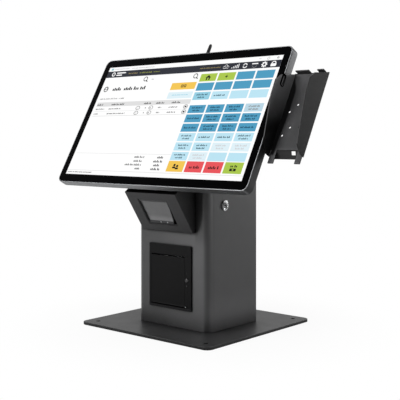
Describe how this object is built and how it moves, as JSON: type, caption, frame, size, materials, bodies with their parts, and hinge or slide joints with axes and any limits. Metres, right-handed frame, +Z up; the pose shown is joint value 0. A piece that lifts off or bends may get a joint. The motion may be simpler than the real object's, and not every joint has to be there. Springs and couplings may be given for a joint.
{
  "type": "point-of-sale touchscreen terminal",
  "caption": "Point-of-sale touchscreen on a steel pedestal, with a receipt printer, a barcode scanner hood, a cam lock, an antenna and a cradle for a payment terminal.",
  "frame": {"origin": "on the counter, under the middle of the column", "axes": "+Z up, -Y towards the user, +X towards the user's right, where the payment cradle is"},
  "size_m": [0.5923, 0.335, 0.5884],
  "materials": {
    "powder_coat": "charcoal powder coat with a fine texture",
    "black_coat": "black powder coat, satin",
    "black_plastic": "black ABS, fine texture",
    "satin_rim": "satin grey",
    "screen_glass": "black-backed cover glass, polished",
    "window_glass": "grey tinted, polished",
    "zinc": "bright zinc plating",
    "chrome": "polished",
    "rubber": "black, matt",
    "circuit_green": "solder-resist green",
    "aluminium": "plain extruded",
    "display_module": "plain grey",
    "paper": "white thermal paper, matt"
  },
  "bodies": {
    "pedestal": {"base_plate": "powder_coat", "mast": "zinc", "mast_bolt_1": "zinc", "mast_bolt_2": "zinc", "mast_bolt_3": "zinc", "mast_bolt_4": "zinc", "column_shell": "powder_coat", "column_cap": "powder_coat", "rear_panel": "powder_coat", "panel_screw_1": "zinc", "panel_screw_2": "zinc", "power_inlet": "black_plastic", "power_supply": "black_plastic", "cable_grommet": "rubber", "lock_barrel": "chrome", "lock_nut": "zinc", "scanner_hood": "black_coat", "window_frame": "black_plastic", "scanner_window": "window_glass", "scanner_engine": "black_plastic", "scanner_bracket": "zinc", "printer_bezel": "black_plastic", "printer_case": "black_plastic", "paper_spindle": "black_plastic", "print_head": "aluminium", "door_pin": "zinc", "tilt_bracket": "black_coat", "bracket_bolt_1": "zinc", "bracket_bolt_2": "zinc", "bracket_bolt_3": "zinc", "bracket_bolt_4": "zinc", "tilt_pin": "zinc", "tilt_nut": "zinc"},
    "screen": {"vesa_plate": "black_coat", "vesa_screw_1": "zinc", "vesa_screw_2": "zinc", "vesa_screw_3": "zinc", "vesa_screw_4": "zinc", "screen_frame": "satin_rim", "touch_glass": "screen_glass", "lcd_panel": "display_module", "rear_cover": "black_plastic", "io_panel": "zinc", "main_board": "circuit_green", "heat_sink": "aluminium", "antenna_socket": "chrome", "cradle": "black_coat", "cradle_arm": "black_coat", "arm_screw_1": "zinc", "arm_screw_2": "zinc"},
    "power_button": {"power_button": "black_plastic"},
    "antenna_knuckle": {"antenna_knuckle": "rubber"},
    "antenna_whip": {"antenna_whip": "rubber"},
    "lock_core": {"lock_plug": "zinc", "lock_cam": "zinc"},
    "printer_door": {"printer_door": "black_plastic"},
    "platen_roller": {"platen_roller": "rubber"},
    "paper_roll": {"paper_roll": "paper"},
    "feed_button": {"feed_button": "black_plastic"}
  },
  "joints": [
    {"name": "screen_tilt", "type": "hinge", "parent": "pedestal", "child": "screen", "pos_m": [0, -0.01076, 0.38563], "axis": [-1, 0, 0], "range_deg": [-2, 20]},
    {"name": "antenna_swivel", "type": "hinge", "parent": "screen", "child": "antenna_knuckle", "pos_m": [0.0047, 0.00382, 0.52286], "axis": [0, 0.4863, 0.8738], "range_deg": [-90, 90]},
    {"name": "antenna_fold", "type": "hinge", "parent": "antenna_knuckle", "child": "antenna_whip", "pos_m": [0.0047, 0.00382, 0.52286], "axis": [-1, 0, 0], "range_deg": [0, 90]},
    {"name": "power_button_press", "type": "slide", "parent": "screen", "child": "power_button", "axis": [0, 0.4863, 0.8738], "range_m": [0, 0.0008], "stiffness_N_per_m": 800, "springref_m": -0.0005},
    {"name": "lock_turn", "type": "hinge", "parent": "pedestal", "child": "lock_core", "pos_m": [0.098, -0.03, 0.254], "axis": [-1, 0, 0], "range_deg": [0, 90]},
    {"name": "printer_door_hinge", "type": "hinge", "parent": "pedestal", "child": "printer_door", "pos_m": [0, -0.0799, 0.0506], "axis": [1, 0, 0], "range_deg": [0, 90]},
    {"name": "platen_spin", "type": "hinge", "parent": "printer_door", "child": "platen_roller", "pos_m": [0, -0.0695, 0.1385], "axis": [1, 0, 0], "continuous": true},
    {"name": "roll_spin", "type": "hinge", "parent": "pedestal", "child": "paper_roll", "pos_m": [0, -0.0445, 0.083], "axis": [1, 0, 0], "continuous": true},
    {"name": "feed_press", "type": "slide", "parent": "pedestal", "child": "feed_button", "axis": [0, 1, 0], "range_m": [0, 0.001], "stiffness_N_per_m": 500}
  ],
  "couplings": [
    {"joint": "platen_spin", "follows": "roll_spin", "ratio": 4.1667}
  ]
}
